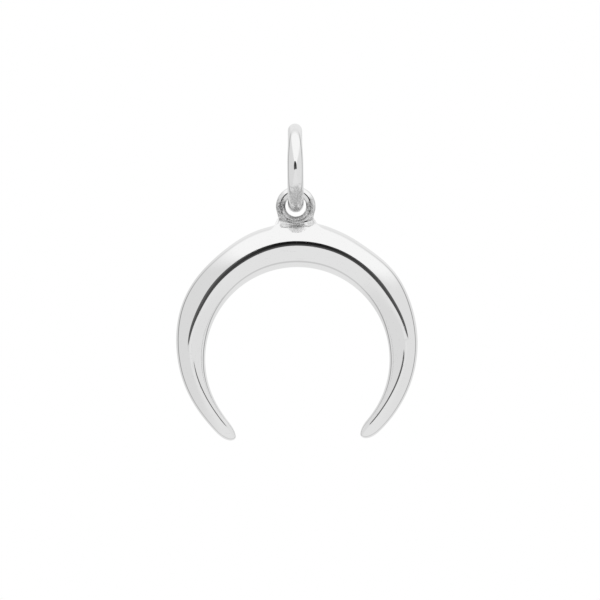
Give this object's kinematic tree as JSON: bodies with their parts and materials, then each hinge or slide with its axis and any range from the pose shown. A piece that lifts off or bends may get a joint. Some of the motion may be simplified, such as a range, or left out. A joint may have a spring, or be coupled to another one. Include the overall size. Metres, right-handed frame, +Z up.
{
  "type": "crescent moon pendant",
  "caption": "Polished silver crescent moon pendant, horns down, with a soldered eye hanging on a round wire bail ring.",
  "frame": {"origin": "the top of the bail's round opening, where the chain bears and the pendant hangs", "axes": "+Z up along the hanging pendant, -Y towards the viewer, +X to the viewer's right and along the chain"},
  "size_m": [0.02, 0.0072, 0.0261],
  "materials": {
    "polished_silver": "mirror polished sterling silver with fine wear scratches, duller where it is soldered"
  },
  "bodies": {
    "bail": {"bail": "polished_silver"},
    "moon": {"crescent": "polished_silver"}
  },
  "joints": [
    {"name": "moon_swing", "type": "hinge", "parent": "bail", "child": "moon", "pos_m": [0, 0, -0.00543], "axis": [0, 1, 0], "range_deg": [-90, 90]}
  ]
}
